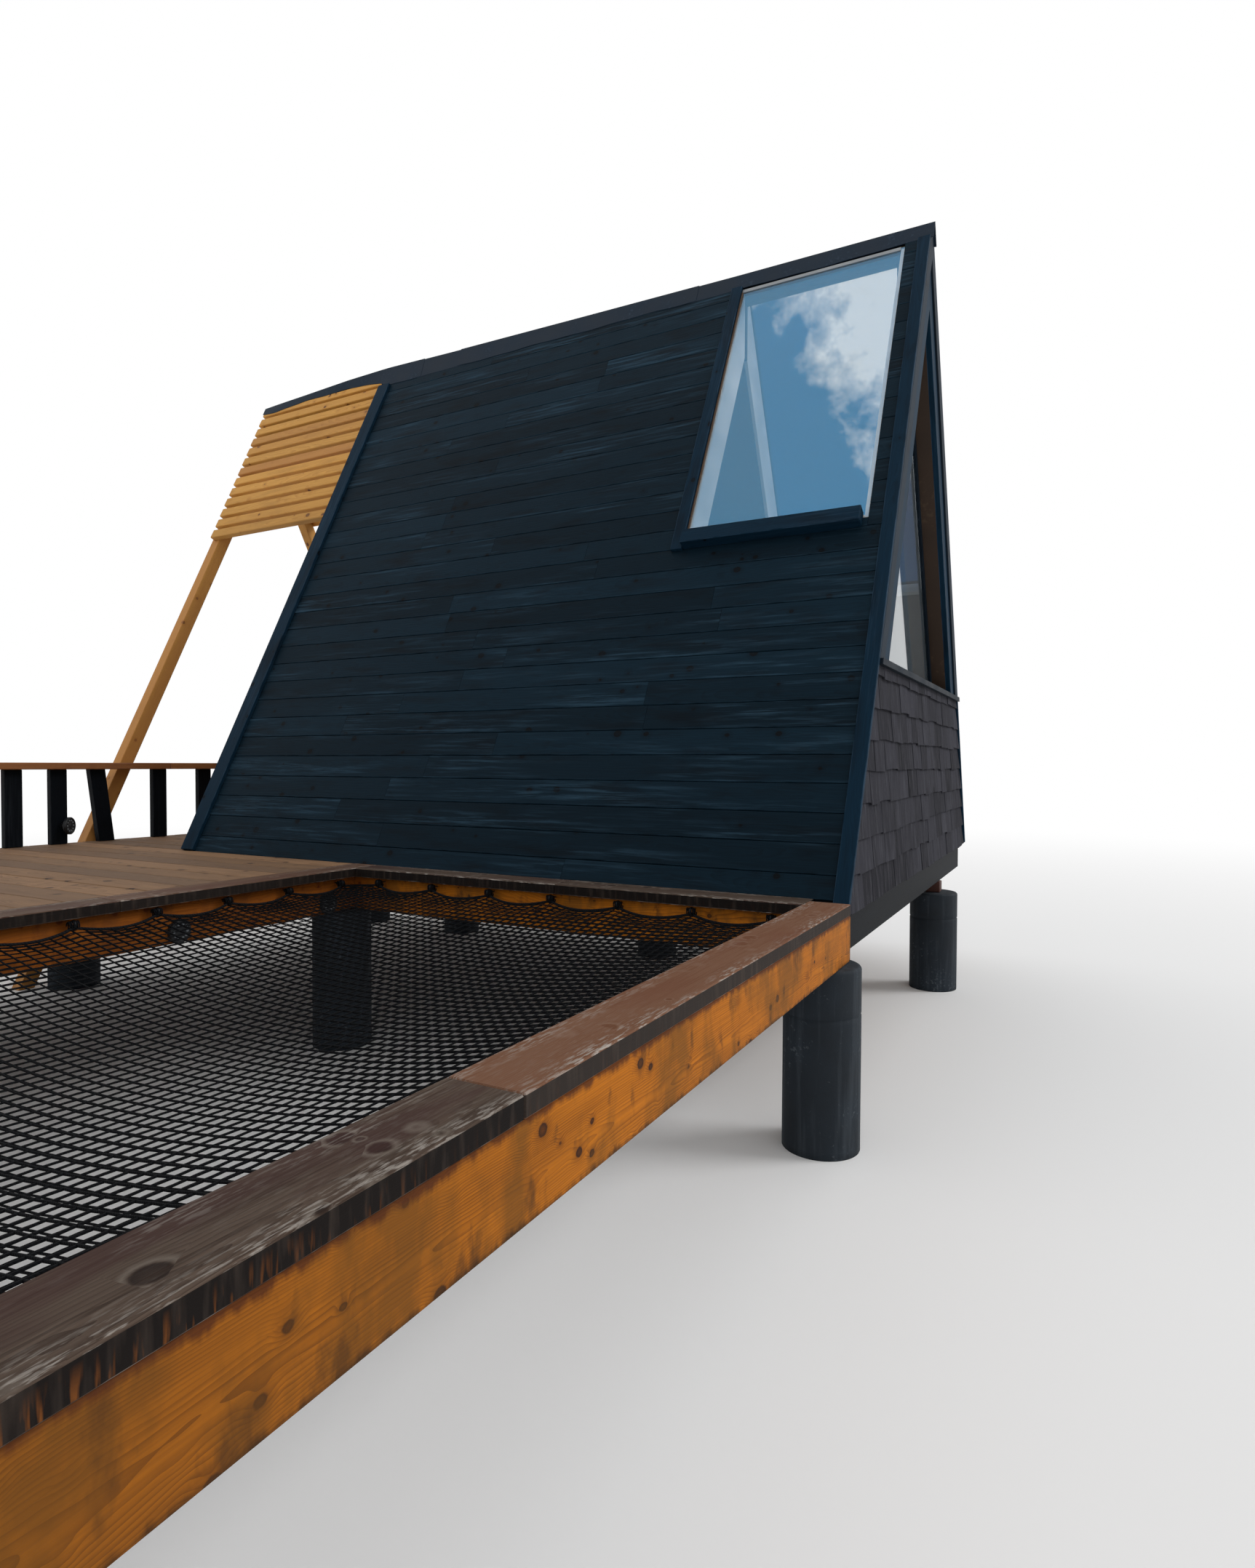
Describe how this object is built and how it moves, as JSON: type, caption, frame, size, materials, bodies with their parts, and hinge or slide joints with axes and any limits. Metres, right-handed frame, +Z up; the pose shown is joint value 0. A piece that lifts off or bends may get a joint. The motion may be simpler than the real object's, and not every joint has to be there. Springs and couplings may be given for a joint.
{
  "type": "a-frame cabin",
  "caption": "A-frame cabin on round piers with a glazed gable, skylights, a slatted porch roof and a low deck holding a net hammock bay.",
  "frame": {"origin": "centre of the footprint, on the lowest ground that the piers stand on", "axes": "+X along the ridge towards the shingled gable, +Y away from the net bay, +Z up"},
  "size_m": [4.762, 6.609, 3.9101],
  "materials": {
    "pier_paint": "cast concrete, rolled matt black paint",
    "dark_siding": "blue-black stain, matt, faint grain",
    "dark_trim": "blue-black stain on planed boards",
    "rim_black": "black stain on framing timber",
    "flashing": "dark blue-grey coated sheet, satin",
    "shingles": "charcoal stained shingles, dry and matt",
    "lining": "dark brown oiled boards",
    "framing": "sawn framing timber",
    "glass": "clear glazing",
    "white_liner": "white paint, satin",
    "pine": "natural pine, clear oil",
    "fir_beam": "fir with growth rings and knots, oiled",
    "weathered_cap": "weathered brown, stained edges",
    "deck_wood": "brown weathered boards",
    "rail_wood": "reddish brown oiled board",
    "black_wood": "black stain, matt",
    "block_wood": "red-brown treated timber",
    "door_wood": "oiled boards",
    "net_cord": "black braided cord",
    "black_steel": "black coated steel",
    "lamp": "dark moulded plastic with a clear lens"
  },
  "bodies": {
    "root": {"near_piers": "pier_paint", "far_piers": "pier_paint", "front_piers": "pier_paint", "pier_blocks": "block_wood", "near_girder": "fir_beam", "floor_frame": "rim_black", "floor_boards": "lining", "near_siding": "dark_siding", "far_siding": "dark_siding", "near_panel": "framing", "far_panel": "framing", "near_lining": "lining", "far_lining": "lining", "ridge_board": "dark_trim", "ridge_flashing": "flashing", "corner_trims": "dark_trim", "rake_boards": "dark_trim", "gable_shingles": "shingles", "gable_wall": "framing", "gable_sill": "dark_trim", "gable_frame": "dark_trim", "gable_glass": "glass", "skylight_liners": "white_liner", "skylight_casings": "dark_trim", "skylight_sills": "dark_trim", "skylight_glass": "glass", "rear_walls": "shingles", "door_frame": "pine", "door": "door_wood", "transom_frame": "dark_trim", "transom_glass": "glass", "porch_rafters": "pine", "near_leg": "pine", "far_leg": "pine", "near_slats": "pine", "far_slats": "pine", "deck_frame": "fir_beam", "deck_boards": "deck_wood", "balusters": "black_wood", "rail_cap": "rail_wood", "net_beams": "fir_beam", "net_caps": "weathered_cap", "net": "net_cord", "net_hooks": "black_steel", "deck_lights": "lamp"}
  },
  "joints": []
}
